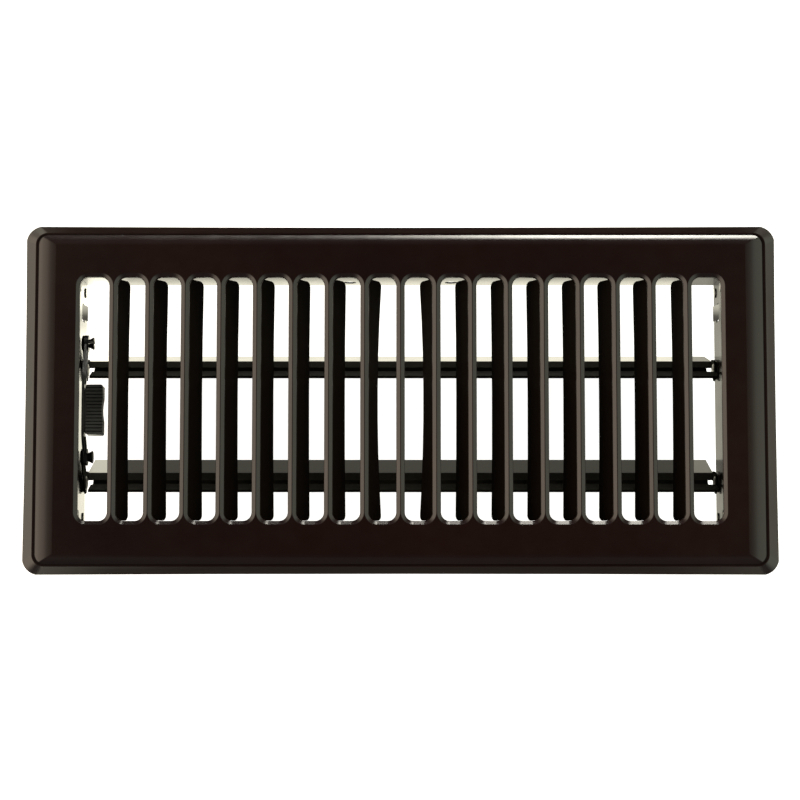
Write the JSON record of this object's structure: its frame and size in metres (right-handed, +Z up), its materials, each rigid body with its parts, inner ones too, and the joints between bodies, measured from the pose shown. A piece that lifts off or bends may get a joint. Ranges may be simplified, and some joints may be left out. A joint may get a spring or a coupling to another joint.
{
  "type": "louvred floor register",
  "caption": "Drop-in louvred floor register: stamped face on a sheet-metal damper box, two linked damper blades worked by a thumb knob.",
  "frame": {"origin": "centre of the flange's seating plane, which is the finished floor", "axes": "+Z up out of the floor, +X along the length away from the thumb knob, +Y towards the back wall"},
  "size_m": [0.2908, 0.1354, 0.0573],
  "materials": {
    "face_enamel": "dark brown semi-gloss baked enamel",
    "box_enamel": "thin glossy dark brown enamel",
    "blade_enamel": "glossy black enamel",
    "link_plastic": "black moulded plastic, satin",
    "knob_plastic": "black moulded plastic, fine matt",
    "bushing_plastic": "black nylon",
    "rivet_steel": "zinc-plated steel, dull"
  },
  "bodies": {
    "frame": {"face_plate": "face_enamel", "side_wall_front": "box_enamel", "side_wall_back": "box_enamel", "end_wall_left": "box_enamel", "end_wall_right": "box_enamel", "pivot_bushing_front_left": "bushing_plastic", "pivot_bushing_front_right": "bushing_plastic", "pivot_bushing_back_left": "bushing_plastic", "pivot_bushing_back_right": "bushing_plastic", "corner_rivets_front_left": "rivet_steel", "corner_rivets_front_right": "rivet_steel", "corner_rivets_back_left": "rivet_steel", "corner_rivets_back_right": "rivet_steel"},
    "blade_back": {"damper_blade_back": "blade_enamel", "pivot_rivet_back_left": "rivet_steel", "pivot_rivet_back_right": "rivet_steel"},
    "blade_front": {"damper_blade_front": "blade_enamel", "pivot_rivet_front_left": "rivet_steel", "pivot_rivet_front_right": "rivet_steel"},
    "link": {"link_bar": "link_plastic", "thumb_knob": "knob_plastic", "snap_pin_front": "link_plastic", "snap_pin_back": "link_plastic"}
  },
  "joints": [
    {"name": "back_blade_hinge", "type": "hinge", "parent": "frame", "child": "blade_back", "pos_m": [0, 0.0135, -0.019], "axis": [1, 0, 0], "range_deg": [-16, 68]},
    {"name": "front_blade_hinge", "type": "hinge", "parent": "frame", "child": "blade_front", "pos_m": [0, -0.031, -0.019], "axis": [1, 0, 0], "range_deg": [-16, 68]},
    {"name": "link_hinge", "type": "hinge", "parent": "blade_back", "child": "link", "pos_m": [-0.1225, 0.0228, -0.0079], "axis": [1, 0, 0], "range_deg": [-68, 16]}
  ],
  "couplings": [
    {"joint": "front_blade_hinge", "follows": "back_blade_hinge", "ratio": 1},
    {"joint": "link_hinge", "follows": "back_blade_hinge", "ratio": -1}
  ]
}
